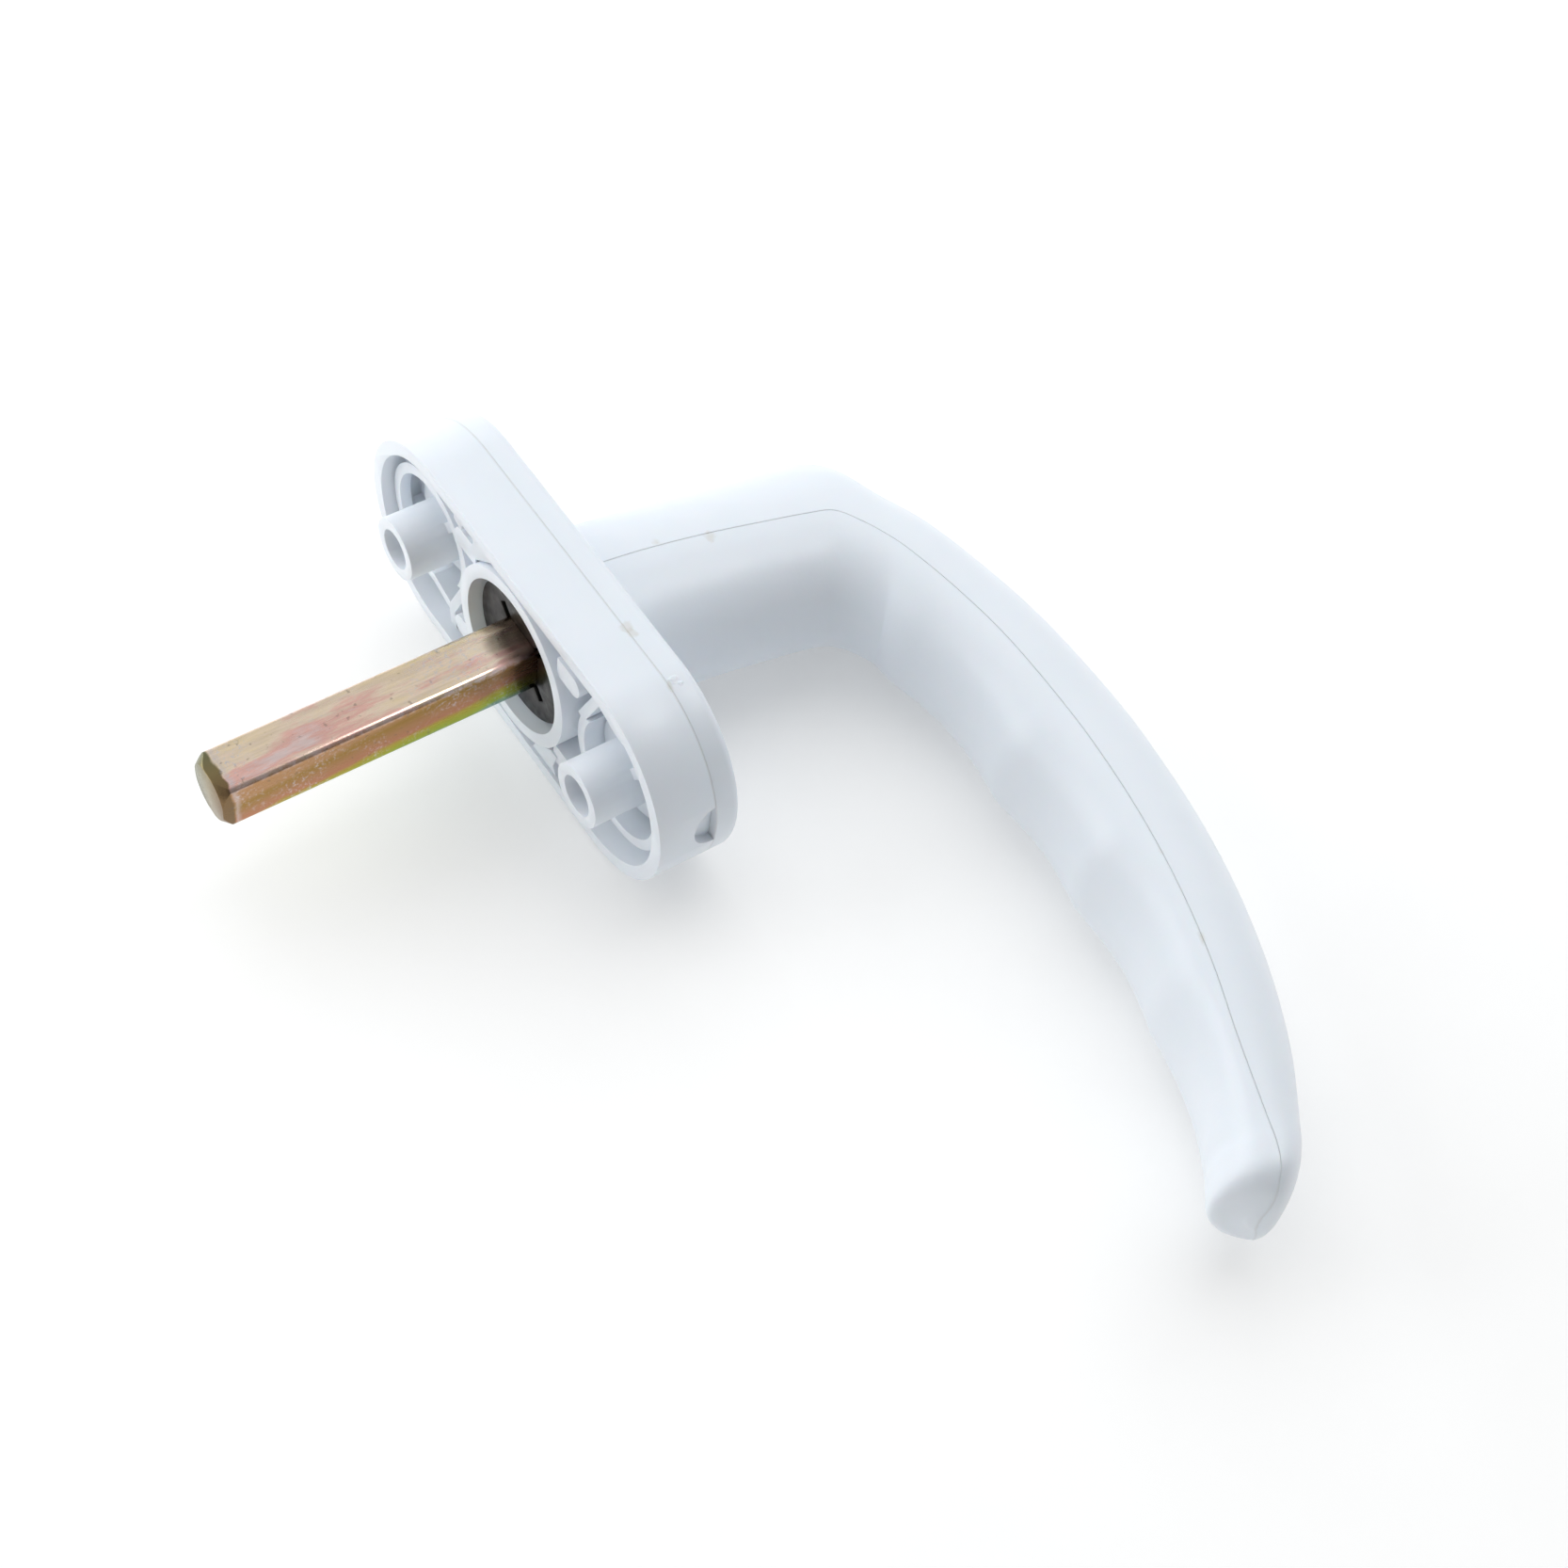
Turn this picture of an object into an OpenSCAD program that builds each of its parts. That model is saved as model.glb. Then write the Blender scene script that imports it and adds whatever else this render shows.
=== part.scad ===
// Tilt and turn window handle with a 7 mm square spindle and a 43 mm rosette.
// +Y points into the sash, -Y into the room, and the lever runs towards -X.
// The origin is on the spindle axis, in the plane where the rosette meets the sash.

/* [Rosette] */
// Length of the rosette
rosette_l = 67.4; // [66:0.2:72]
// Width of the rosette
rosette_w = 28.6; // [28.2:0.2:31]
// Height of the base
base_h = 7.7; // [7.6:0.1:9]
// Height of the turning cover
cover_h = 3.5; // [3.4:0.1:5]
// Outer wall of the base and of the cover
rim_wall = 1.9; // [1.6:0.1:2]
// Floor of the base, on the room side
floor_t = 1.5; // [1.2:0.1:1.8]
// Rounding round the face of the cover
cover_edge_r = 1.2; // [0.6:0.1:1.4]

/* [Screw posts] */
// Distance between the two screws
screw_pitch = 43; // [43:0.5:43.5]
// Radius of a post
post_r = 4.2; // [4:0.1:4.6]
// Radius of the hole in a post, for an M5 screw
post_hole_r = 2.7; // [2.6:0.1:3.1]
// How far a post stands past the sash face
post_reach = 3.8; // [2:0.1:6]
// Outer radius of the rib round a post
post_rib_r = 9; // [8.6:0.1:9]
// Thickness of the ribs
rib_t = 1.4; // [1:0.1:1.6]

/* [Neck bearing] */
// Radius of the neck journal
journal_r = 10; // [9.8:0.05:10.05]
// Running clearance between the journal and its bore, on the radius
running_gap = 0.08; // [0.04:0.01:0.1]
// Radius of the open bore on the sash side
back_bore_r = 10.2; // [10.1:0.1:10.4]
// Radius of the ring round the bore
hub_ring_r = 12; // [11.8:0.1:12.1]
// Across the flats of the four-stop cam
cam_flats = 15; // [14.6:0.1:15.2]

/* [Spindle] */
// Side of the square spindle
spindle_side = 7; // [7:0.5:7]
// How far the spindle stands past the sash face
spindle_reach = 40; // [25:1:60]
// Rounding of its long edges
spindle_edge_r = 0.9; // [0.4:0.1:1.2]

/* [Lever] */
// Radius of the long arc of the grip, along the seam
grip_arc_r = 130; // [128:1:132]
// Wall of the two lever shells
shell_t = 2.2; // [1.8:0.1:2.2]
// Depth of the finger recesses
finger_depth = 1; // [0:0.1:1.2]

/* [Hidden] */

round_fn = 96;
cut = 0.5;                                   // how far a cutter passes a face
half_pitch = screw_pitch / 2;
face_y = -(base_h + cover_h);                // room face of the cover, where the neck starts
collar_h = cover_h - 1.5;                    // raised collar of the base, inside the cover
collar_y = -(base_h + collar_h);

// Levels along the spindle axis, from the sash face towards the room.
lip_y = -2.8;                                // lip that holds the washers
cam_y = -5.2;                                // end of the lip, start of the cam
lip_r = 7;
slide_t = 0.4;
washer_t = 0.8;
stub_r = lip_r - running_gap;

// Leaf springs that press on the cam.
leaf_t = 0.5;
leaf_z = cam_flats / 2;                      // face of a leaf that meets the cam
leaf_half_l = 13;
leaf_swing = 2.1;                            // room for a leaf to bow outwards

// The rib round a post: its level, its centre and its corner.
rib_y = -1.5;
rib_x = 22.1;
rib_root = [13.8, -3.2];
rib_corner = [16.8, -9.6];
rib_end = [21.2, -8.3];

// Neck and pin.
hub_r = 6.2;
socket_end_y = -30;
socket_gap = 0.05;
pin_y = -22;
pin_r = 1.25;

// The centre of the grip's long arc.
grip_centre = [-38, grip_arc_r - 49];
arm_outer = 3.4;
arm_inner = -1.2;
arm_half_w = 3.5;
arm_from = -10.5;                            // angles along the grip
arm_to = 21;

white = [0.9, 0.91, 0.94];
zinc = [0.62, 0.63, 0.65];
spring_steel = [0.2, 0.2, 0.21];
passivated = [0.76, 0.62, 0.42];

// ---- helpers -------------------------------------------------------------

// Extrudes an outline in X and Z from the level y towards the room.
module towards_room(y, depth) {
    translate([0, y, 0]) rotate([90, 0, 0]) linear_extrude(height = depth) children();
}

// A round bar along Y from one level to another.
module rod(r, y_room, y_sash, x = 0, z = 0) {
    translate([x, y_room, z]) rotate([-90, 0, 0]) cylinder(r = r, h = y_sash - y_room, $fn = round_fn);
}

// An outline with straight sides and round ends.
module stadium(l, w) {
    square([l - w, w], center = true);
    for (s = [-1, 1]) translate([s * (l - w) / 2, 0]) circle(d = w, $fn = round_fn);
}

// A pill-shaped slab whose room face has a rounded edge; it stands on y and rises towards the room.
module rounded_slab(l, w, h, edge, y) {
    translate([0, y, 0]) rotate([90, 0, 0]) {
        for (s = [-1, 1]) translate([s * (l - w) / 2, 0, 0])
            rotate_extrude($fn = round_fn) half_profile(w, h, edge);
        rotate([90, 0, 90]) linear_extrude(height = l - w, center = true) {
            half_profile(w, h, edge);
            mirror([1, 0]) half_profile(w, h, edge);
        }
    }
}

module half_profile(w, h, edge) {
    square([w / 2, h - edge]);
    square([w / 2 - edge, h]);
    intersection() {
        translate([w / 2 - edge, h - edge]) circle(r = edge, $fn = 32);
        square([w, h]);
    }
}

// A square outline with rounded corners.
module rounded_square(side, r) {
    square([side, side - 2 * r], center = true);
    square([side - 2 * r, side], center = true);
    for (x = [-1, 1], z = [-1, 1])
        translate([x * (side / 2 - r), z * (side / 2 - r)]) circle(r = r, $fn = 32);
}

// ---- rosette -------------------------------------------------------------

module rosette_base() color(white) difference() {
    union() {
        difference() {
            towards_room(0, base_h) stadium(rosette_l, rosette_w);
            towards_room(cut, base_h - floor_t + cut)
                stadium(rosette_l - 2 * rim_wall, rosette_w - 2 * rim_wall);
        }
        rod(hub_ring_r, collar_y, 0);
        for (side = [-1, 1]) rotate([0, side < 0 ? 180 : 0, 0]) post_group();
    }
    rod(back_bore_r, lip_y, cut);
    rod(lip_r, cam_y - cut, 0);
    rod(journal_r + running_gap, collar_y - cut, cam_y);
    for (side = [-1, 1]) {
        rod(post_hole_r, -base_h - cut, post_reach + cut, x = side * half_pitch);
        rod(5.1, -base_h - cut, -base_h + 2.4, x = side * half_pitch);
        leaf_slot(side);
    }
    pry_notch();
}

// The post, its ribs and the spring holders of one end; the other end is turned half round.
module post_group() {
    rod(post_r, -base_h, post_reach, x = half_pitch);
    rod(6.6, -base_h, -base_h + 3.6, x = half_pitch);
    difference() {
        union() {
            towards_room(rib_y, base_h + rib_y) difference() {
                translate([rib_x, 0]) circle(r = post_rib_r, $fn = round_fn);
                translate([rib_x, 0]) circle(r = post_rib_r - rib_t, $fn = round_fn);
                polygon([rib_root, rib_corner, rib_end, [rib_x - 1, -5.5]]);
            }
            towards_room(rib_y - 0.5, base_h + rib_y - 0.5) for (angle = [-52, 128])
                translate([half_pitch, 0]) rotate(angle) translate([post_r - 0.5, -rib_t / 2])
                    square([post_rib_r - post_r, rib_t]);
            corner_ribs();
        }
        towards_room(-3, 2) translate([rib_x + post_rib_r - 2.2, -3.2]) square([3, 6.6]);
    }
    corner_plate();
    for (z = [-1, 1]) towards_room(-0.6, base_h - 0.6) {
        translate([9.4, z * leaf_z - (z < 0 ? 2.4 : 0.7)]) square([3.4, 3.1]);
        translate([12.8, z * (leaf_z + 0.85)]) circle(r = 1.55, $fn = 48);
    }
}

// The rib leaves its circle for a corner, which a short web ties to the outer wall.
module corner_ribs() {
    towards_room(rib_y, base_h + rib_y) {
        translate(rib_corner) circle(d = rib_t, $fn = 32);
        for (to = [rib_root, rib_end, [16.2, -rosette_w / 2 + 1]]) rib_line(rib_corner, to);
    }
}

// A straight rib that runs on a little into the wall it ends in.
module rib_line(from, to) {
    run = to - from;
    translate(from) rotate(atan2(run[1], run[0])) translate([0, -rib_t / 2])
        square([norm(run) + 0.45, rib_t]);
}

// The stepped plate that backs up a leaf spring, and the block beside it.
module corner_plate() {
    wall_z = rosette_w / 2 - 1;
    towards_room(-0.4, base_h - 0.4) {
        polygon([[4.6, wall_z], [5.4, 11.6], [9, 8.6], [10.4, 8.7], [9.7, 11], [11, wall_z]]);
        polygon([[11.7, wall_z], [12.6, 10.3], [14.2, 10.9], [14.6, wall_z]]);
    }
}

// The slot of a leaf spring: tight at its two ends and free to swing between them.
module leaf_slot(side) {
    gap = 0.05;
    slot_depth = cam_y - collar_y + cut;
    translate([-leaf_half_l - gap, collar_y - cut, side > 0 ? leaf_z - gap : -leaf_z - leaf_t - gap])
        cube([2 * (leaf_half_l + gap), slot_depth, leaf_t + 2 * gap]);
    translate([-9.4, collar_y - cut, side > 0 ? leaf_z - 1 : -leaf_z - leaf_t - leaf_swing])
        cube([18.8, slot_depth, leaf_t + leaf_swing + 1]);
}

// The half-round notch where a screwdriver lifts the cover.
module pry_notch() {
    translate([-rosette_l / 2 - cut, -base_h, 0.8]) rotate([0, 90, 0])
        cylinder(r = 3, h = cut + 1.3, $fn = 48);
}

module rosette_cover() color(white) difference() {
    rounded_slab(rosette_l, rosette_w, cover_h, cover_edge_r, -base_h);
    towards_room(-base_h + cut, collar_h + cut) stadium(rosette_l - 2 * rim_wall, rosette_w - 2 * rim_wall);
    rod(journal_r + running_gap, face_y - cut, -base_h);
}

// ---- lever ---------------------------------------------------------------

// A point at an angle and an offset from the grip's long arc; the angle grows towards the tip.
function on_arc(angle, offset) =
    grip_centre + (grip_arc_r + offset) * [-sin(angle), -cos(angle)];

// One section of the lever: outer edge, seam and inner edge in X and Y, half the width in Z,
// and the angle along the grip, which places the finger recesses.
neck_sections = [
    [[11.6, face_y], [0.3, face_y], [-12, face_y], 10.2, -30],
    [[10.6, -18], [-0.5, -18], [-12.6, -18], 10.1, -28],
    [[9.4, -26], [-2, -26], [-13.5, -25], 10, -26],
    [[8.2, -34], [-3.7, -33], [-14.4, -30.5], 9.9, -23],
    [[7.2, -41], [-5.1, -38.5], [-15.1, -34.2], 9.8, -20],
    [[6.1, -45.4], [-6.4, -41.9], [-16, -36.8], 9.8, -16],
    [[3, -48.7], [-9.4, -43.9], [-17.8, -38.7], 9.8, -13],
    [[-3, -51], [-12.8, -45.5], [-20.4, -40], 9.7, -10]
];
// Each row: angle, fan of the section, offsets of the outer edge, seam and inner edge, half width.
grip_sections = [for (g = [
        [-9.5, 2, 8, -0.6, -8, 9.7], [-6, 1, 8.7, -0.2, -8.2, 9.6], [-2, 0.5, 9.2, 0, -8.4, 9.6],
        [3.1, 0, 9.5, 0, -8.5, 9.5], [7, 0, 9.5, 0, -8, 9.5], [11, 0, 9.5, 0, -7.3, 9.5],
        [15, 0, 9.3, 0, -6.2, 9.4], [19.3, 0, 8.8, 0, -5, 9.2], [23.5, 0, 7.9, 0, -4.1, 8.9]])
    [on_arc(g[0] - g[1], g[2]), on_arc(g[0], g[3]), on_arc(g[0] + g[1], g[4]), g[5], g[0]]];
tip_sections = [
    [[-101, -39.9], [-98.7, -35], [-96.4, -30.9], 8.5, 27.5],
    [[-103.2, -38.1], [-101.8, -33.9], [-99.2, -28.9], 8.4, 30],
    [[-104.9, -36.3], [-104.1, -32.8], [-101, -27.5], 8, 32],
    [[-106.1, -34.6], [-105.3, -31.9], [-101.9, -27.1], 7, 34],
    [[-106.8, -33.2], [-106.1, -31.3], [-102.7, -27.4], 5.5, 36],
    [[-107, -32.1], [-106.4, -30.9], [-103.8, -28.3], 3.7, 38],
    [[-106.8, -31.3], [-106.4, -30.4], [-105.1, -29.2], 1.9, 40]
];
sections = concat(neck_sections, grip_sections, tip_sections);
section_steps = 3;
outer_steps = 16;
cavity_steps = 8;
outer_power = 2.5;
inner_power = 2.1;
recesses = [[-8, 3.1, 1.2], [3.1, 11, 0.9], [11, 19.3, 1], [19.3, 27.5, 0.7]];

// A smooth curve through the values a, b, c and d, between b and c.
function smooth(a, b, c, d, t) =
    b + t / 2 * (c - a + t * (2 * a - 5 * b + 4 * c - d + t * (3 * (b - c) + d - a)));

function section_at(k, t) =
    let (last = len(sections) - 1,
         a = sections[max(k - 1, 0)], b = sections[k],
         c = sections[min(k + 1, last)], d = sections[min(k + 2, last)])
    [for (i = [0:4]) smooth(a[i], b[i], c[i], d[i], t)];

rings = [for (k = [0:len(sections) - 2], j = [0:section_steps - 1]) section_at(k, j / section_steps),
    sections[len(sections) - 1]];

function recess_at(angle) =
    let (found = [for (r = recesses) if (angle > r[0] && angle < r[1])
        r[2] * sin(180 * (angle - r[0]) / (r[1] - r[0]))])
    len(found) > 0 ? finger_depth * found[0] : 0;

// How open the hollow is: fully along the grip, closing towards the tip.
function hollow_at(angle) = min(1, max(0, (29 - angle) / 5));

function signed_power(v, p) = sign(v) * pow(abs(v), p);

// One arc of a section, from z = -width to z = +width, on the side of the point edge.
function half_ring(seam, edge, depth, width, power, steps) =
    let (out = (edge - seam) / norm(edge - seam))
    [for (j = [0:steps])
        let (angle = -90 + 180 * j / steps,
             reach = depth * signed_power(cos(angle), 2 / power),
             z = width * signed_power(sin(angle), 2 / power))
        [seam[0] + out[0] * reach, seam[1] + out[1] * reach, z]];

// side 0 is the outer shell and side 1 the inner one.
function shell_ring(s, side) =
    let (edge = side == 0 ? s[0] : s[2],
         depth = norm(edge - s[1]) - (side == 0 ? 0 : recess_at(s[4])),
         hollow = max(0.05, (depth - shell_t) * hollow_at(s[4])),
         width = max(0.35 * s[3], s[3] - shell_t),
         cavity = half_ring(s[1], edge, hollow, width, 2.5, cavity_steps))
    concat(half_ring(s[1], edge, depth, s[3], side == 0 ? outer_power : inner_power, outer_steps),
        [for (j = [cavity_steps:-1:0]) cavity[j]]);

module lever_shell(side) {
    ring_size = outer_steps + cavity_steps + 2;
    last = (len(rings) - 1) * ring_size;
    points = [for (s = rings) each shell_ring(s, side)];
    sides = [for (k = [0:len(rings) - 2], j = [0:ring_size - 1])
        let (a = k * ring_size + j, b = k * ring_size + (j + 1) % ring_size)
        each [[a, a + ring_size, b], [b, a + ring_size, b + ring_size]]];
    // An end face is a strip between the outer arc and every second step of it on the cavity.
    ends = [for (base = [0, last], j = [0:outer_steps - 1])
        let (inner = function(i) base + ring_size - 1 - floor(i / 2),
             near = [base + j, base + j + 1, inner(j + 1)],
             far = [base + j, inner(j + 1), inner(j)],
             flip = base > 0)
        each concat([flip ? [near[2], near[1], near[0]] : near],
            inner(j) == inner(j + 1) ? [] : [flip ? [far[2], far[1], far[0]] : far])];
    turned = side == 0 ? concat(sides, ends) : [for (f = concat(sides, ends)) [f[2], f[1], f[0]]];
    polyhedron(points = points, faces = turned, convexity = 8);
}

module lever_outer_shell() color(white) lever_shell(0);

module lever_inner_shell() color(white) lever_shell(1);

// The die-cast core: journal, cam, stub and square socket, with an arm along the grip.
module lever_core() color(zinc) difference() {
    union() {
        rod(journal_r, face_y, -base_h - 0.1);
        towards_room(cam_y - 0.1, base_h + cam_y + 0.1) intersection() {
            square(cam_flats - 0.04, center = true);
            circle(r = 9.4, $fn = round_fn);
        }
        rod(stub_r, cam_y - 1, lip_y - 0.05);
        rod(hub_r, socket_end_y - 1, face_y + 1);
        translate([0, 0, -arm_half_w]) linear_extrude(height = 2 * arm_half_w) polygon([
            [-5, -28], [5, -28], [3.8, -40], [1.8, -44], [-4, -47.2],
            on_arc(arm_from + 1.5, arm_outer - 0.4), on_arc(arm_from + 1.5, arm_inner + 0.4),
            [-11, -43.4], [-9, -40]]);
        translate([grip_centre[0], grip_centre[1], -arm_half_w]) rotate([0, 0, -90 - arm_to])
            rotate_extrude(angle = arm_to - arm_from, $fn = 360) translate([grip_arc_r + arm_inner, 0])
                square([arm_outer - arm_inner, 2 * arm_half_w]);
    }
    towards_room(lip_y + cut, lip_y + cut - socket_end_y)
        rounded_square(spindle_side + 2 * socket_gap, spindle_edge_r);
    translate([0, pin_y, 0]) cylinder(r = pin_r, h = 3 * hub_r, center = true, $fn = 48);
}

// ---- spindle and what holds it -------------------------------------------

module spindle() color(passivated) difference() {
    intersection() {
        towards_room(spindle_reach, spindle_reach - socket_end_y - 0.5)
            rounded_square(spindle_side, spindle_edge_r);
        translate([0, socket_end_y, 0]) rotate([-90, 0, 0]) union() {
            cylinder(r = 6, h = spindle_reach - socket_end_y - 1.8, $fn = round_fn);
            translate([0, 0, spindle_reach - socket_end_y - 1.8])
                cylinder(r1 = 5.2, r2 = 3.6, h = 1.8, $fn = round_fn);
        }
    }
    translate([0, pin_y, 0]) cylinder(r = pin_r, h = 3 * hub_r, center = true, $fn = 48);
}

// A rolled spring pin, across the neck.
module spindle_pin() color(spring_steel) translate([0, pin_y, 0]) difference() {
    cylinder(r = pin_r, h = 2 * hub_r - 0.6, center = true, $fn = 48);
    cylinder(r = 0.75, h = 2 * hub_r, center = true, $fn = 48);
    translate([0, -0.15, -hub_r]) cube([2, 0.3, 2 * hub_r]);
}

module leaf(side) color(spring_steel)
    translate([-leaf_half_l, -base_h + 0.15, side > 0 ? leaf_z : -leaf_z - leaf_t])
        cube([2 * leaf_half_l, base_h + cam_y - 0.3, leaf_t]);

module detent_spring_upper() leaf(1);

module detent_spring_lower() leaf(-1);

module slide_washer() color(white) difference() {
    rod(9.7, lip_y, lip_y + slide_t);
    rod(lip_r + 0.1, lip_y - cut, cut);
}

// The star washer: it grips the spindle with four tongues between slots at the corners.
module retaining_washer() color(spring_steel) difference() {
    rod(9.5, lip_y + slide_t, lip_y + slide_t + washer_t);
    towards_room(0, -lip_y + cut) {
        rounded_square(spindle_side + 0.02, spindle_edge_r);
        for (angle = [45, 135]) rotate(angle) square([13.2, 1.3], center = true);
    }
}

rosette_base();
rosette_cover();
lever_outer_shell();
lever_inner_shell();
lever_core();
spindle();
spindle_pin();
detent_spring_upper();
detent_spring_lower();
slide_washer();
retaining_washer();
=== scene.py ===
# %% [markdown]
# # A tilt and turn window handle
# The handle lies on its side on a white table, with its open back and its square
# spindle towards us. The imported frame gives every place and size. This file gives
# the moulded nylon, the plated spindle and the black star washer their real surfaces.

# %% Load the frame
from math import cos, pi, radians, sin

import bpy
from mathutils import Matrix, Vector


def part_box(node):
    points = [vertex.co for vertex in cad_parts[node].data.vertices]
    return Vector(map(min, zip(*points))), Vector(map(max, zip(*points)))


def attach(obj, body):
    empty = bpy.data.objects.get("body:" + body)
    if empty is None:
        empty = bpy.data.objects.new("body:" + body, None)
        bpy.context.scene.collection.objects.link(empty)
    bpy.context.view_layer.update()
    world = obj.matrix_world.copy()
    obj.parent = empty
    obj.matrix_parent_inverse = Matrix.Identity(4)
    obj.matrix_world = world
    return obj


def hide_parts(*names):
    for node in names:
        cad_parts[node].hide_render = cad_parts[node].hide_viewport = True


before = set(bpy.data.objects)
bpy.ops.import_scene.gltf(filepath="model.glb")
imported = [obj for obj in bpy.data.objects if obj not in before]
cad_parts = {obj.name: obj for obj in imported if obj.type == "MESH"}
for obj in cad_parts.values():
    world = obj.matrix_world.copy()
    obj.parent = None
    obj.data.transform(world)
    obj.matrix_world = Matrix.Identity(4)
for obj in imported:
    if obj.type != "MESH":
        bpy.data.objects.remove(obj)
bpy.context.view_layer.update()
MM = 0.001

# %% Work on one object at a time, because an operator acts on all that is selected
def activate(piece):
    if bpy.context.object and bpy.context.object.mode != "OBJECT":
        bpy.ops.object.mode_set(mode="OBJECT")
    bpy.ops.object.select_all(action="DESELECT")
    piece.select_set(True)
    bpy.context.view_layer.objects.active = piece


def edit_all(piece):
    activate(piece)
    bpy.ops.object.mode_set(mode="EDIT")
    bpy.ops.mesh.select_all(action="SELECT")


def leave_edit():
    bpy.ops.object.mode_set(mode="OBJECT")


def apply_modifier(piece, kind, **settings):
    activate(piece)
    modifier = piece.modifiers.new(kind.title(), kind)
    for name, value in settings.items():
        setattr(modifier, name, value)
    bpy.ops.object.modifier_apply(modifier=modifier.name)


def place_in_mesh(piece):
    activate(piece)
    bpy.ops.object.transform_apply(location=True, rotation=True, scale=True)


def report(piece):
    faces = sum(len(face.vertices) - 2 for face in piece.data.polygons)
    size = [round(v / MM, 1) for v in piece.dimensions]
    print(f"{piece.name}: {faces} triangles, {size} mm")


# %% [markdown]
# ## The camera
# We look at the handle from behind and above, a little rolled, through a short
# telephoto lens. An azimuth, an elevation, a roll and a distance say that in four
# numbers that are easy to read and to change, which a bare matrix wouldn't be.

# %% The camera
AZIMUTH, ELEVATION, ROLL = radians(228.66), radians(54.0), radians(9.2)
LENS_MM, SENSOR_MM = 62.4, 36.0
DISTANCE = 327.6 * MM
LOOK_AT = Vector((-29.1, -21.0, -5.8)) * MM

bpy.ops.object.camera_add()
camera = bpy.context.object
camera.name = "camera"
camera.data.lens, camera.data.sensor_width = LENS_MM, SENSOR_MM
camera.data.clip_start = 0.01
back = Vector((sin(AZIMUTH) * cos(ELEVATION), -cos(AZIMUTH) * cos(ELEVATION), sin(ELEVATION)))
camera.rotation_euler = back.to_track_quat("Z", "Y").to_euler()
camera.rotation_euler.rotate_axis("Z", ROLL)
camera.location = LOOK_AT + back * DISTANCE
bpy.context.scene.camera = camera
print("camera at", [round(v / MM, 1) for v in camera.location], "mm")

# %% [markdown]
# ## The table and the light
# The handle rests on the rosette's rim and the tip of the lever, so the table is a
# little tilted against the handle's own frame. A large soft lamp stands behind and
# above, which leaves the inner faces of the lever grey and throws a pale shadow
# towards us. A small lamp close by lights the rosette's open back, and a third one
# only puts glints along the edges. The white surroundings fill the rest. One bare
# lamp would be simpler, but its hard shadows would hide the ribs.

# %% The table
TABLE_TILT = radians(-6.5)
TABLE_DROP = 15.6 * MM
bpy.ops.mesh.primitive_plane_add(size=6.0, location=(0, 0, -TABLE_DROP))
table = bpy.context.object
table.name = "table"
table.rotation_euler = (TABLE_TILT, 0, 0)
place_in_mesh(table)
print("table under the spindle's axis:", round(TABLE_DROP / MM, 1), "mm")

# %% The lamps
def area_lamp(name, direction, distance, size, watts, colour=(1, 1, 1)):
    bpy.ops.object.light_add(type="AREA")
    lamp = bpy.context.object
    lamp.name = name
    lamp.data.shape = "DISK"
    lamp.data.size, lamp.data.energy, lamp.data.color = size, watts, colour
    aim = Vector(direction).normalized()
    lamp.location = LOOK_AT + aim * distance
    lamp.rotation_euler = aim.to_track_quat("Z", "Y").to_euler()
    return lamp


key = area_lamp("key_lamp", (0.5, -0.36, 0.98), 0.9, 1.3, 5.1, (0.97, 0.985, 1.0))
key.visible_glossy = False                    # the bar's flat top would mirror the whole lamp
area_lamp("back_lamp", (0.72, 0.65, 0.35), 0.4, 0.4, 0.6, (0.98, 0.99, 1.0))
glint = area_lamp("glint_lamp", (-0.16, -0.34, 0.93), 0.9, 0.4, 1.4)
glint.visible_diffuse = False                 # only for the glints along the edges

# %% The white room
ROOM_LIGHT = 0.66
DARK_SIDE = 0.42 * ROOM_LIGHT                 # the room behind us is darker than the walls
PATCH_EDGE, PATCH_FULL = 0.3, 0.85            # cosines of the angle from the darkest point
world = bpy.data.worlds.new("white_room")
bpy.context.scene.world = world
world.use_nodes = True
backdrop = world.node_tree.nodes["Background"]
backdrop.inputs["Color"].default_value = (0.98, 0.99, 1.0, 1)
direction = world.node_tree.nodes.new("ShaderNodeTexCoord").outputs["Generated"]
towards_us = world.node_tree.nodes.new("ShaderNodeVectorMath")
towards_us.operation = "DOT_PRODUCT"
towards_us.inputs[1].default_value = Vector((-0.85, 0.2, 0.45)).normalized()
darkening = world.node_tree.nodes.new("ShaderNodeMapRange")
for index, number in ((1, PATCH_EDGE), (2, PATCH_FULL), (3, ROOM_LIGHT), (4, DARK_SIDE)):
    darkening.inputs[index].default_value = number
world.node_tree.links.new(direction, towards_us.inputs[0])
world.node_tree.links.new(towards_us.outputs["Value"], darkening.inputs[0])
world.node_tree.links.new(darkening.outputs[0], backdrop.inputs["Strength"])
bpy.context.scene.view_settings.view_transform = "Standard"
bpy.context.scene.view_settings.look = "None"
print("room light:", ROOM_LIGHT, "and on the dark side", round(DARK_SIDE, 2))

# %% [markdown]
# ## Node trees in a few lines
# Each finish is a Principled shader with noise behind its colour, roughness and bump.
# A small helper adds a node, sets its inputs and links them, so that a finish reads
# as a short recipe instead of a page of links. Object coordinates are metres here, so
# a noise scale says how many patches fit in a metre, and a bump's distance is metres.

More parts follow.
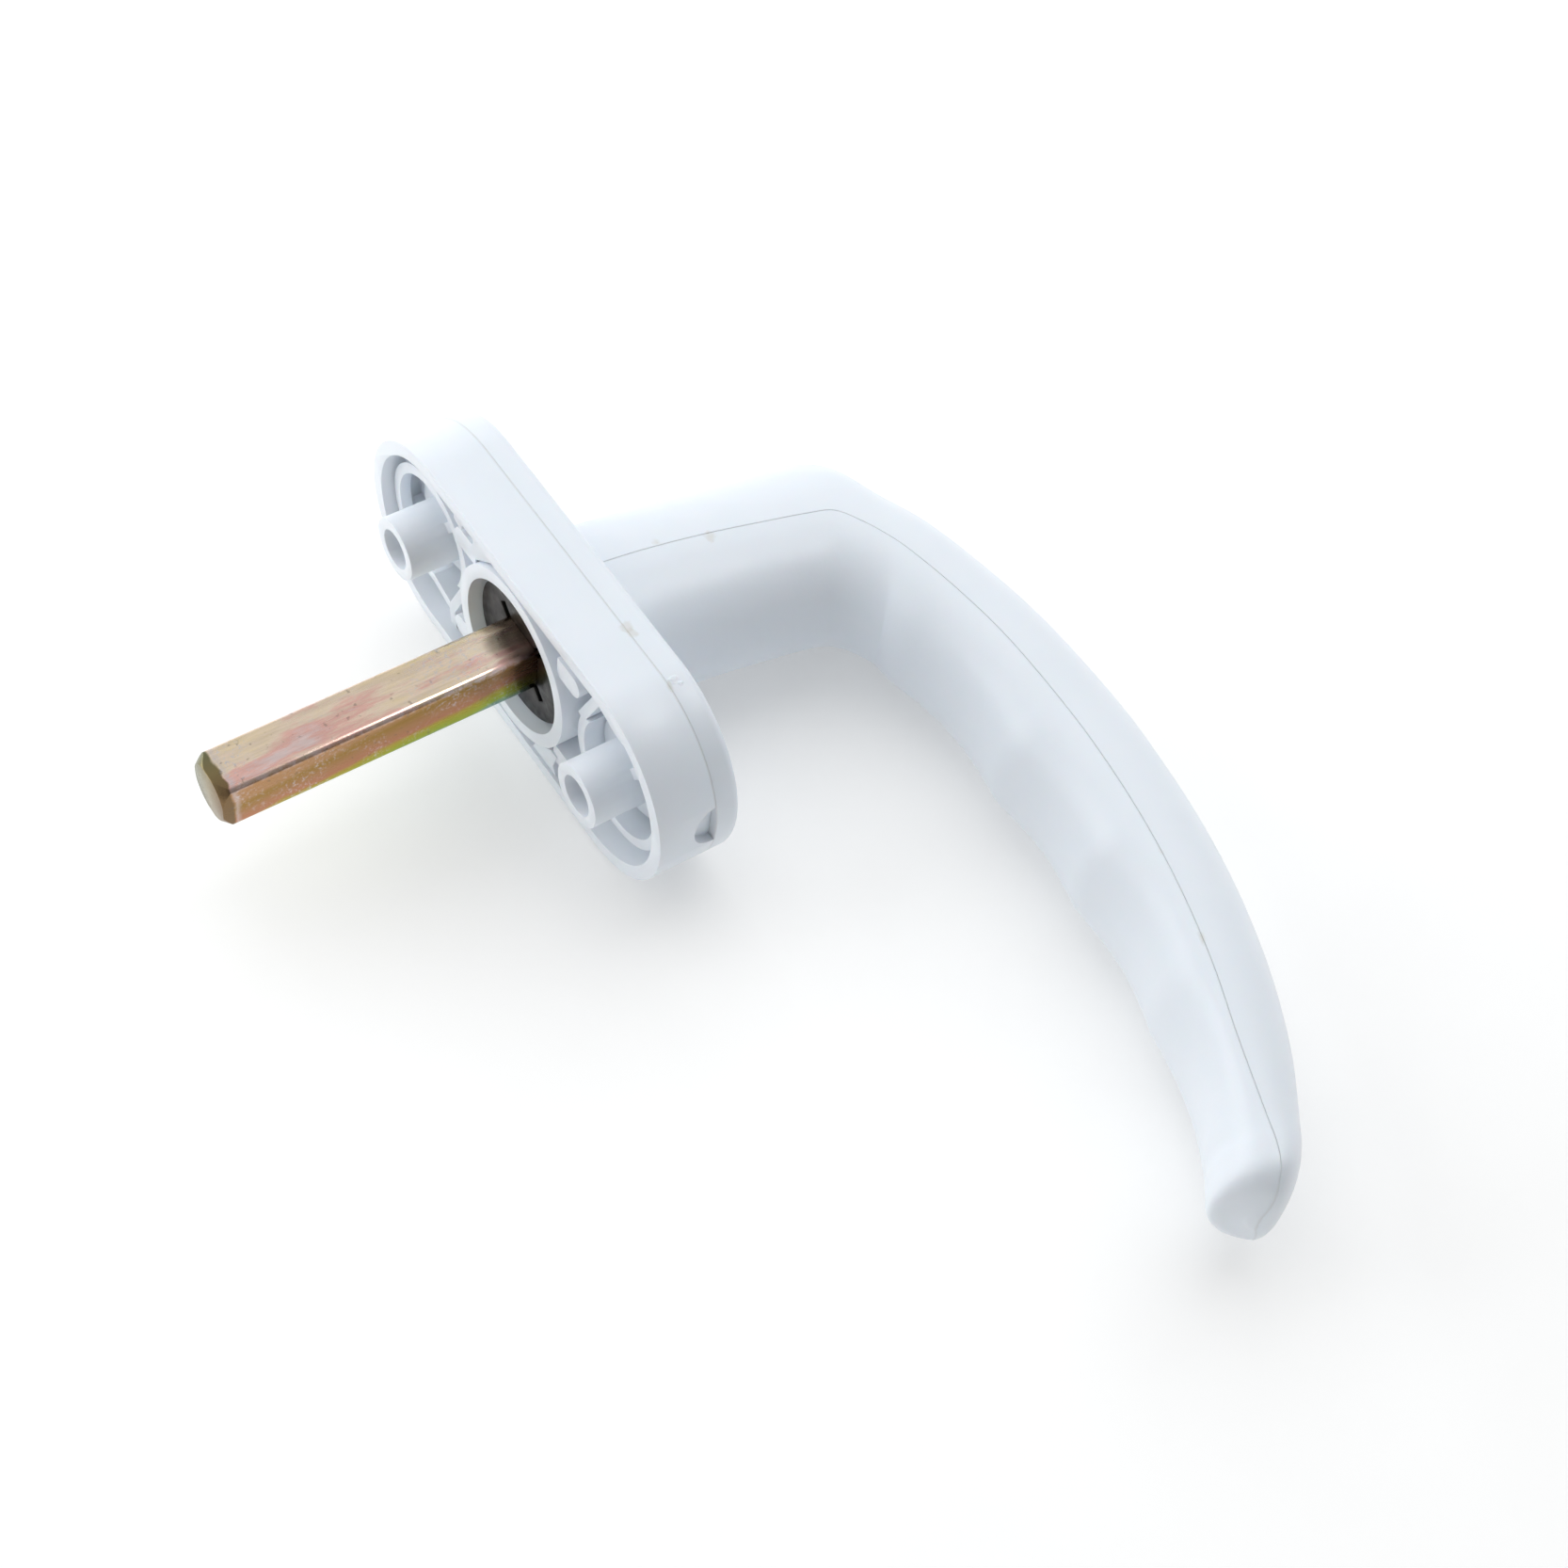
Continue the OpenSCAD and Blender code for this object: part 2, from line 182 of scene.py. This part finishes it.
# %% A helper for finishes, in which an input called i3 is the socket with number 3
class Finish:
    def __init__(self, name):
        self.material = bpy.data.materials.new(name)
        self.material.use_nodes = True
        self.tree = self.material.node_tree
        self.tree.nodes.clear()
        self.shader = self.add("ShaderNodeBsdfPrincipled")
        out = self.add("ShaderNodeOutputMaterial")
        self.tree.links.new(self.shader.outputs["BSDF"], out.inputs["Surface"])
        self.place = self.add("ShaderNodeTexCoord").outputs["Object"]

    def add(self, kind, settings=None, **inputs):
        node = self.tree.nodes.new(kind)
        for name, value in (settings or {}).items():
            setattr(node, name, value)
        for name, value in inputs.items():
            self.join(node, name.replace("_", " "), value)
        return node

    def join(self, node, name, value):
        socket = node.inputs[int(name[1:])] if name[1:].isdigit() else node.inputs[name]
        if isinstance(value, bpy.types.NodeSocket):
            self.tree.links.new(value, socket)
        else:
            socket.default_value = value

    def set(self, **inputs):
        for name, value in inputs.items():
            self.join(self.shader, name.replace("_", " "), value)

    def noise(self, scale, detail=3.0, roughness=0.5, where=None, distortion=0.0):
        return self.add("ShaderNodeTexNoise", Vector=where or self.place, Scale=scale,
                        Detail=detail, Roughness=roughness, Distortion=distortion).outputs["Fac"]

    def stretched(self, scale, turn=(0, 0, 0)):
        return self.add("ShaderNodeMapping", Vector=self.place, Scale=scale, Rotation=turn).outputs[0]

    def between(self, value, low, high, to_low=0.0, to_high=1.0):
        node = self.add("ShaderNodeMapRange", {"clamp": True})
        for index, number in enumerate((value, low, high, to_low, to_high)):
            self.join(node, f"i{index}", number)
        return node.outputs[0]

    def maths(self, operation, first, second=0.0):
        return self.add("ShaderNodeMath", {"operation": operation}, i0=first, i1=second).outputs[0]

    def blend(self, factor, first, second, mode="MIX"):
        node = self.add("ShaderNodeMix", {"data_type": "RGBA", "blend_type": mode})
        for index, value in ((0, factor), (6, first), (7, second)):
            self.join(node, f"i{index}", value)
        return node.outputs[2]

    def ramp(self, factor, stops):
        node = self.add("ShaderNodeValToRGB", Fac=factor)
        elements = node.color_ramp.elements
        while len(elements) < len(stops):
            elements.new(0.5)
        for element, (position, colour) in zip(elements, stops):
            element.position = position
            element.color = (*colour, 1)
        return node.outputs["Color"]

    def axis(self, name):
        return self.add("ShaderNodeSeparateXYZ", Vector=self.place).outputs[name]

    def bump(self, height, distance, strength=1.0, under=None):
        inputs = dict(Height=height, Distance=distance, Strength=strength)
        if under:
            inputs["Normal"] = under
        return self.add("ShaderNodeBump", **inputs).outputs["Normal"]


# %% [markdown]
# ## The nylon
# The lever and the rosette are white polyamide: cool white, satin, with a faint
# mottle in the gloss and a skin as fine as an orange peel. Handling leaves a little
# yellowish dirt in the joints. A low mask follows each joint, so the dirt stays there.

# %% The nylon finishes
WHITE = (0.815, 0.86, 0.915, 1)
WHITE_SHADE = (0.80, 0.85, 0.905, 1)
DIRT = (0.58, 0.54, 0.45, 1)
JOINT_SHADE = (0.66, 0.66, 0.66, 1)
SPOT_STRENGTH = 0.32


def mark(finish, place, radius):
    """A ragged spot round a place in millimetres."""
    away = finish.add("ShaderNodeVectorMath", {"operation": "DISTANCE"}, i0=finish.place,
                      i1=[v * MM for v in place]).outputs["Value"]
    ragged = finish.between(finish.noise(700, 3), 0.3, 0.7, -0.5 * radius * MM, 0.5 * radius * MM)
    return finish.between(finish.maths("ADD", away, ragged), 0.5 * radius * MM, radius * MM, 1.0, 0.0)


def nylon(name, joint, dirt, nicks=()):
    finish = Finish(name)
    colour = finish.blend(finish.between(finish.noise(180, 4), 0.35, 0.65), WHITE_SHADE, WHITE)
    near, line = joint(finish)
    patches = finish.between(finish.noise(210, 2), 0.64, 0.72)
    colour = finish.blend(finish.maths("MULTIPLY", near, patches), colour, DIRT)
    colour = finish.blend(line, colour, JOINT_SHADE)
    for place, radius in dirt:
        spot = finish.maths("MULTIPLY", mark(finish, place, radius), SPOT_STRENGTH)
        colour = finish.blend(spot, colour, DIRT)
    gloss = finish.between(finish.noise(420, 5, 0.6), 0.3, 0.7, 0.30, 0.40)
    skin = finish.bump(finish.noise(1500, 3, 0.6), 0.00003, 0.35)
    scuffs = finish.noise(900, 2, where=finish.stretched((1, 0.08, 1), (0.3, 0, 0.5)))
    skin = finish.bump(finish.between(scuffs, 0.62, 0.7), 0.00001, 0.25, skin)
    for place, radius in nicks:
        nick = mark(finish, place, radius)
        skin = finish.bump(nick, 0.00012, 0.7, skin)
        gloss = finish.maths("MULTIPLY", gloss, finish.between(nick, 0.0, 1.0, 1.0, 0.4))
    finish.set(Base_Color=colour, Roughness=gloss, Normal=skin, IOR=1.5)
    finish.set(Subsurface_Weight=0.08, Subsurface_Scale=0.001)
    return finish.material


# %% Where the joints are
COVER_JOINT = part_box("rosette_cover")[1].y


def close_to_cover_joint(finish):
    from_joint = finish.maths("ABSOLUTE", finish.maths("SUBTRACT", finish.axis("Y"), COVER_JOINT))
    return (finish.between(from_joint, 0.1 * MM, 0.5 * MM, 0.7, 0.0),
            finish.between(from_joint, 0.05 * MM, 0.2 * MM, 0.5, 0.0))


def close_to_lever_seam(finish):
    """The seam attribute is a distance in millimetres."""
    seam = finish.add("ShaderNodeAttribute", {"attribute_name": "seam"}).outputs["Fac"]
    return finish.between(seam, 0.1, 0.5, 0.5, 0.0), finish.between(seam, 0.08, 0.25, 0.4, 0.0)


# %% The two nylons, each with its own few marks: a place and a radius in millimetres
LEVER_DIRT = [((-2.6, -26.2, 10), 0.9), ((-0.4, -20, 10.1), 0.6)]
ROSETTE_DIRT = [((-12.4, -8.0, 14.3), 0.9), ((-13.6, -8.1, 14.3), 0.8)]
ROSETTE_NICKS = [((-21.3, -8.8, 14.2), 0.7), ((-22.2, -9.2, 14.1), 0.5)]
lever_nylon = nylon("lever_nylon", close_to_lever_seam, LEVER_DIRT)
rosette_nylon = nylon("rosette_nylon", close_to_cover_joint, ROSETTE_DIRT, ROSETTE_NICKS)
print("nylon nodes:", len(lever_nylon.node_tree.nodes), len(rosette_nylon.node_tree.nodes))

# %% [markdown]
# ## The spindle's plating
# Zinc with a yellow passivation looks gold, but the film is so thin that it also
# shows pink and green bands. Noise pulled along the bar bends the bands, the arrises
# are rubbed and carry a painted highlight, and the sawn end is rubbed down to grey zinc.

# %% The bar's coloured sides and its paler top
def banded_sides(finish):
    drift = finish.noise(95, 4, 0.6, where=finish.stretched((1, 0.3, 1)), distortion=0.8)
    drift = finish.between(drift, 0.25, 0.75, -0.16, 0.16)
    height = finish.maths("ADD", finish.between(finish.axis("Z"), -3.5 * MM, 3.4 * MM), drift)
    greener = finish.between(finish.axis("Y"), 4 * MM, 36 * MM, -0.14, 0.34)
    return finish.ramp(finish.maths("ADD", height, greener), [
        (0.0, (0.20, 0.36, 0.30)), (0.10, (0.36, 0.44, 0.04)), (0.30, (0.46, 0.38, 0.05)),
        (0.42, (0.50, 0.22, 0.12)), (0.62, (0.44, 0.23, 0.11)), (0.84, (0.36, 0.21, 0.06)),
        (1.0, (0.46, 0.26, 0.13))])


def patchy_top(finish):
    patches = finish.noise(260, 5, 0.7, where=finish.stretched((1, 0.22, 1), (0, 0, 0.06)))
    pinker = finish.between(finish.axis("X"), -3.2 * MM, 3.2 * MM, 0.13, -0.06)
    top = finish.ramp(finish.maths("ADD", patches, pinker), [
        (0.28, (0.78, 0.68, 0.38)), (0.40, (0.98, 0.80, 0.52)), (0.54, (1.0, 0.82, 0.64)),
        (0.64, (0.98, 0.58, 0.50)), (0.74, (0.96, 0.76, 0.72))])
    grain = finish.noise(1300, 3, 0.7, where=finish.stretched((1, 0.08, 1)))
    grain = finish.between(grain, 0.40, 0.62, 0.88, 1.0)
    grey = finish.add("ShaderNodeCombineColor", i0=grain, i1=grain, i2=grain).outputs[0]
    return finish.blend(1.0, top, grey, "MULTIPLY")


# %% The wear: grey flecks and rubbed arrises, with a painted highlight on the arrises
ZINC_FLECK = (0.72, 0.70, 0.74, 1)
RUBBED_ZINC_AND_HIGHLIGHT = (0.90, 0.74, 0.74, 1)


def wear_and_highlight(finish, film):
    flecks = finish.between(finish.noise(1700, 4, 0.75), 0.52, 0.66)
    where = finish.between(finish.noise(130, 3), 0.42, 0.62)
    flecks = finish.maths("MULTIPLY", flecks, finish.maths("MULTIPLY", where, 0.75))
    film = finish.blend(flecks, film, ZINC_FLECK)
    corner = finish.maths("MINIMUM", finish.maths("ABSOLUTE", finish.axis("X")),
                          finish.maths("ABSOLUTE", finish.axis("Z")))
    # the arrises get rubbed zinc and a painted pinkish-white highlight in one colour
    arris = finish.between(corner, 2.75 * MM, 3.2 * MM)
    rubbed_and_highlight = finish.maths("MULTIPLY", arris, finish.between(finish.noise(700, 4, 0.7), 0.42, 0.58))
    return finish.blend(finish.maths("MULTIPLY", rubbed_and_highlight, 0.6), film, RUBBED_ZINC_AND_HIGHLIGHT)


# %% The sawn end, and the dark root where the bar leaves the washer
SAWN_EDGE = (0.66, 0.62, 0.64, 1)
ROOT_SHADE = (0.10, 0.045, 0.03, 1)


def sawn_end(finish, colour):
    ragged = finish.between(finish.noise(500, 4), 0.3, 0.7, -0.3 * MM, 0.3 * MM)
    along = finish.maths("ADD", finish.axis("Y"), ragged)
    end_film = finish.ramp(finish.between(finish.axis("X"), -3 * MM, 3 * MM), [
        (0.0, (0.22, 0.14, 0.07)), (0.5, (0.27, 0.21, 0.10)), (1.0, (0.20, 0.20, 0.11))])
    colour = finish.blend(finish.between(along, 38.5 * MM, 38.8 * MM), colour, end_film)
    edge = finish.maths("MULTIPLY", finish.between(along, 37.6 * MM, 38.2 * MM),
                        finish.between(along, 38.3 * MM, 38.6 * MM, 1.0, 0.0))
    return finish.blend(finish.maths("MULTIPLY", edge, 0.4), colour, SAWN_EDGE)


def dark_root(finish, colour):
    root = finish.between(finish.axis("Y"), -2.5 * MM, 3.2 * MM, 0.9, 0.0)
    return finish.blend(root, colour, ROOT_SHADE)


# %% The plated steel
PIT_SHADE = (0.16, 0.14, 0.11, 1)


def passivated_steel():
    finish = Finish("passivated_steel")
    sides, top = banded_sides(finish), patchy_top(finish)
    film = finish.blend(finish.between(finish.axis("Z"), 3.0 * MM, 3.45 * MM), sides, top)
    colour = dark_root(finish, sawn_end(finish, wear_and_highlight(finish, film)))
    pits = finish.between(finish.noise(1100, 2), 0.66, 0.72)
    colour = finish.blend(finish.maths("MULTIPLY", pits, 0.4), colour, PIT_SHADE)
    streaks = finish.noise(1500, 4, 0.65, where=finish.stretched((1, 0.04, 1)))
    gloss = finish.between(streaks, 0.3, 0.7, 0.20, 0.30)
    skin = finish.bump(streaks, 0.00002, 0.3)
    finish.set(Base_Color=colour, Metallic=1.0, Roughness=gloss,
               Normal=finish.bump(finish.noise(900, 4), 0.00004, 0.3, skin))
    return finish.material


plating = passivated_steel()
print("plating nodes:", len(plating.node_tree.nodes))

# %% [markdown]
# ## The plain finishes
# The star washer, the leaf springs and the pin are oiled black steel, the core is a
# zinc casting and the slide washer is acetal. None of them shows more than a mottle,
# so one function makes them all, and the table's paper too.

# %% The dark steel, the zinc casting, the slide washer and the table
def plain_finish(name, low, high, scale, metallic, gloss, grain):
    finish = Finish(name)
    colour = finish.blend(finish.between(finish.noise(scale, 4, 0.6), 0.3, 0.7), (*low, 1), (*high, 1))
    rough = finish.between(finish.noise(scale * 2.5, 3), 0.3, 0.7, *gloss)
    skin = finish.bump(finish.noise(scale * 6, 3, 0.7), grain, 0.5)
    finish.set(Base_Color=colour, Metallic=metallic, Roughness=rough, Normal=skin)
    return finish.material


black_steel = plain_finish("black_steel", (0.020, 0.018, 0.018), (0.055, 0.050, 0.048), 300, 0.9,
                           (0.32, 0.5), 0.00003)
cast_zinc = plain_finish("cast_zinc", (0.42, 0.43, 0.45), (0.55, 0.56, 0.58), 240, 1.0,
                         (0.38, 0.55), 0.00006)
acetal = plain_finish("acetal", (0.72, 0.72, 0.69), (0.78, 0.78, 0.75), 200, 0.0, (0.3, 0.42), 0.00002)
table_paper = plain_finish("table_paper", (0.91, 0.905, 0.895), (0.93, 0.925, 0.915), 40, 0.0,
                           (0.75, 0.85), 0.00001)
table.data.materials.append(table_paper)
PAPER_GLOW = 0.17                             # keeps the shadows on the paper pale
paper = table_paper.node_tree.nodes["Principled BSDF"].inputs
paper["Emission Color"].default_value = (1, 1, 1, 1)
paper["Emission Strength"].default_value = PAPER_GLOW

# %% Every node wears its finish
finishes = {"rosette_base": rosette_nylon, "rosette_cover": rosette_nylon, "lever_core": cast_zinc,
            "lever_outer_shell": lever_nylon, "lever_inner_shell": lever_nylon,
            "spindle": plating, "spindle_pin": black_steel, "retaining_washer": black_steel,
            "detent_spring_upper": black_steel, "detent_spring_lower": black_steel,
            "slide_washer": acetal}
for node, finish in finishes.items():
    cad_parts[node].data.materials[0] = finish
print("finished nodes:", len(finishes))

# %% [markdown]
# ## The two halves of the lever
# The grip is two thin shells glued along a seam that runs round the sides. Each is a
# row of D-shaped sections: an outer arc and the arc of the hollow. A flat grid has
# exactly that layout, so we add one as a primitive and wrap each of its rows round
# one section. A sweep along a curve would need the same section all the way, and
# this lever narrows, fans out at the elbow and dents under the fingers.

# %% The sections along the lever, in millimetres
FACE_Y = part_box("rosette_cover")[0].y / MM
GRIP_CENTRE, GRIP_ARC_R, SHELL_T = (-38.0, 81.0), 130.0, 2.2


def on_arc(angle, offset):
    radius = GRIP_ARC_R + offset
    return (GRIP_CENTRE[0] - radius * sin(radians(angle)), GRIP_CENTRE[1] - radius * cos(radians(angle)))


# Outer edge, seam and inner edge in X and Y, half the width, and the angle along the grip.
NECK = [
    ((11.6, FACE_Y), (0.3, FACE_Y), (-12, FACE_Y), 10.2, -30),
    ((10.6, -18), (-0.5, -18), (-12.6, -18), 10.1, -28),
    ((9.4, -26), (-2, -26), (-13.5, -25), 10, -26),
    ((8.2, -34), (-3.7, -33), (-14.4, -30.5), 9.9, -23),
    ((7.2, -41), (-5.1, -38.5), (-15.1, -34.2), 9.8, -20),
    ((6.1, -45.4), (-6.4, -41.9), (-16, -36.8), 9.8, -16),
    ((3, -48.7), (-9.4, -43.9), (-17.8, -38.7), 9.8, -13),
    ((-3, -51), (-12.8, -45.5), (-20.4, -40), 9.7, -10)]
# Angle, fan of the section, offsets of the outer edge, seam and inner edge, half the width.
GRIP = [
    (-9.5, 2, 8, -0.6, -8, 9.7), (-6, 1, 8.7, -0.2, -8.2, 9.6), (-2, 0.5, 9.2, 0, -8.4, 9.6),
    (3.1, 0, 9.5, 0, -8.5, 9.5), (7, 0, 9.5, 0, -8, 9.5), (11, 0, 9.5, 0, -7.3, 9.5),
    (15, 0, 9.3, 0, -6.2, 9.4), (19.3, 0, 8.8, 0, -5, 9.2), (23.5, 0, 7.9, 0, -4.1, 8.9)]
TIP = [
    ((-101, -39.9), (-98.7, -35), (-96.4, -30.9), 8.5, 27.5),
    ((-103.2, -38.1), (-101.8, -33.9), (-99.2, -28.9), 8.4, 30),
    ((-104.9, -36.3), (-104.1, -32.8), (-101, -27.5), 8, 32),
    ((-106.1, -34.6), (-105.3, -31.9), (-101.9, -27.1), 7, 34),
    ((-106.8, -33.2), (-106.1, -31.3), (-102.7, -27.4), 5.5, 36),
    ((-107, -32.1), (-106.4, -30.9), (-103.8, -28.3), 3.7, 38),
    ((-106.8, -31.3), (-106.4, -30.4), (-105.1, -29.2), 1.9, 40)]
SECTIONS = NECK + [(on_arc(g[0] - g[1], g[2]), on_arc(g[0], g[3]), on_arc(g[0] + g[1], g[4]), g[5], g[0])
                   for g in GRIP] + TIP
FINGER_RECESSES = [(-8, 3.1, 1.2), (3.1, 11, 0.9), (11, 19.3, 1.0), (19.3, 27.5, 0.7)]
print("sections:", len(SECTIONS))


# %% Smooth rings between the sections
def smooth(a, b, c, d, t):
    """The Catmull-Rom curve from b to c, with a and d as the values beside them."""
    return b + t / 2 * (c - a + t * (2 * a - 5 * b + 4 * c - d + t * (3 * (b - c) + d - a)))


def section_at(index, t):
    last = len(SECTIONS) - 1
    near = [SECTIONS[min(max(index + step, 0), last)] for step in (-1, 0, 1, 2)]
    points = [Vector([smooth(*(s[part][axis] for s in near), t) for axis in (0, 1)]) for part in (0, 1, 2)]
    return (*points, *(smooth(*(s[part] for s in near), t) for part in (3, 4)))


STEPS = 6
DOME_REACH = Vector((0.05, 0.25))
SECTION_SEAM = Vector(SECTIONS[-1][1])
RINGS = [section_at(k, j / STEPS) for k in range(len(SECTIONS) - 1) for j in range(STEPS)]
for turn in (0, 30, 60, 90):                  # a small dome closes the tip in a pole
    outer, seam, inner, width, angle = section_at(len(SECTIONS) - 2, 1.0)
    seam, size = seam + DOME_REACH * sin(radians(turn)), cos(radians(turn))
    RINGS.append((seam + (outer - SECTION_SEAM) * size, seam, seam + (inner - SECTION_SEAM) * size,
                  width * size, angle))
print("rings:", len(RINGS))


def recess_at(angle):
    """How deep the fingers' recesses are at an angle along the grip."""
    return sum(depth * sin(pi * (angle - start) / (end - start))
               for start, end, depth in FINGER_RECESSES if start < angle < end)


def power_of(value, power):
    """A power that keeps the value's sign."""
    return (1 if value > 0 else -1) * abs(value) ** power


def arc(seam, edge, depth, width, power, steps):
    """Half an outline, from one end of the seam over the edge to the other end."""
    out = (edge - seam).normalized()
    points = []
    for step in range(steps + 1):
        angle = -pi / 2 + pi * step / steps
        reach = depth * power_of(cos(angle), 2 / power)
        points.append((seam.x + out.x * reach, seam.y + out.y * reach,
                       width * power_of(sin(angle), 2 / power)))
    return points


# %% One shell: a grid wrapped round its rings
ARC_STEPS, HOLLOW_STEPS = 32, 16
GROOVE_HALF, GROOVE_DEEP = 0.06, 0.09
OUTER_FULLNESS, INNER_FULLNESS = 2.5, 2.1     # 2 is an ellipse, more is squarer
HOLLOW_END, HOLLOW_RUN_OUT = 29, 5            # degrees along the grip


def shell_ring(ring, inner):
    edge, seam, width, angle = ring[2 if inner else 0], ring[1], ring[3], ring[4]
    depth = (edge - seam).length - (recess_at(angle) if inner else 0)
    opening = min(1, max(0, (HOLLOW_END - angle) / HOLLOW_RUN_OUT))
    hollow_depth = max(0.01 * width, (depth - SHELL_T) * opening)
    hollow_width = max(0.35 * width, width - SHELL_T)
    hollow = arc(seam, edge, hollow_depth, hollow_width, OUTER_FULLNESS, HOLLOW_STEPS)
    skin = arc(seam, edge, depth, width, INNER_FULLNESS if inner else OUTER_FULLNESS, ARC_STEPS)
    deep = min(GROOVE_DEEP, 0.05 * width)
    out = (edge - seam).normalized() * min(GROOVE_HALF, 0.03 * width)
    for end in (0, -1):                       # a cut corner at the seam leaves a fine groove
        x, y, z = skin[end]
        lip = (x + out.x, y + out.y, z)
        skin[end] = (x, y, z - deep * (1 if z > 0 else -1))
        skin.insert(1 if end == 0 else len(skin) - 1, lip)
    return skin + hollow[::-1]


def lever_shell(name, node, inner):
    loops = [shell_ring(ring, inner) for ring in RINGS]
    columns = len(loops[0])
    bpy.ops.object.select_all(action="DESELECT")
    bpy.ops.mesh.primitive_grid_add(x_subdivisions=columns, y_subdivisions=len(loops) - 1, size=1)
    piece = bpy.context.object
    piece.name = name
    seam = piece.data.attributes.new("seam", "FLOAT", "POINT")
    for index, vertex in enumerate(piece.data.vertices):
        row, column = divmod(index, columns + 1)
        spot = Vector(loops[row][column % columns])
        vertex.co = spot * MM
        seam.data[index].value = min((spot - Vector(loops[row][end])).length for end in (0, ARC_STEPS + 2))
    edit_all(piece)
    bpy.ops.mesh.remove_doubles(threshold=0.000001)
    bpy.ops.mesh.select_all(action="DESELECT")
    bpy.ops.mesh.select_non_manifold()
    bpy.ops.mesh.fill_holes(sides=0)
    bpy.ops.mesh.select_all(action="SELECT")
    bpy.ops.mesh.normals_make_consistent(inside=False)
    leave_edit()
    bpy.ops.object.shade_smooth_by_angle(angle=radians(35))
    piece.data.materials.append(lever_nylon)
    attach(piece, "lever")
    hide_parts(node)
    report(piece)


lever_shell("grip_outer_half", "lever_outer_shell", False)
lever_shell("grip_inner_half", "lever_inner_shell", True)

# %% [markdown]
# ## Moulded and stamped edges
# No moulded or stamped edge is knife sharp. A copy of a CAD node, merged and cleared
# of needless triangles, takes a narrow bevel on its sharp edges, and a thin bright
# line then runs along them as on the real piece.

# %% A soft-edged copy of a node
SHARP_EDGE, SMOOTH_EDGE = radians(30), radians(40)


def softened(name, node, body, width):
    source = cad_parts[node]
    piece = source.copy()
    piece.data = source.data.copy()
    piece.parent = None
    piece.name = name
    for key in [key for key in piece.keys() if key.startswith("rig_")]:
        del piece[key]                        # the copy keeps none of the node's tags
    bpy.context.collection.objects.link(piece)
    edit_all(piece)
    bpy.ops.mesh.remove_doubles(threshold=0.000002)
    bpy.ops.mesh.dissolve_limited(angle_limit=radians(1.0))
    leave_edit()
    apply_modifier(piece, "BEVEL", width=width * MM, segments=2, limit_method="ANGLE",
                   angle_limit=SHARP_EDGE, use_clamp_overlap=True, harden_normals=False)
    bpy.ops.object.shade_smooth_by_angle(angle=SMOOTH_EDGE)
    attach(piece, body)
    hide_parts(node)
    report(piece)


# %% The four soft-edged pieces, with the width of each bevel in millimetres
softened("rosette_back", "rosette_base", "rosette", 0.2)
softened("rosette_face", "rosette_cover", "cover", 0.15)
softened("square_bar", "spindle", "lever", 0.15)
softened("star_washer", "retaining_washer", "lever", 0.08)
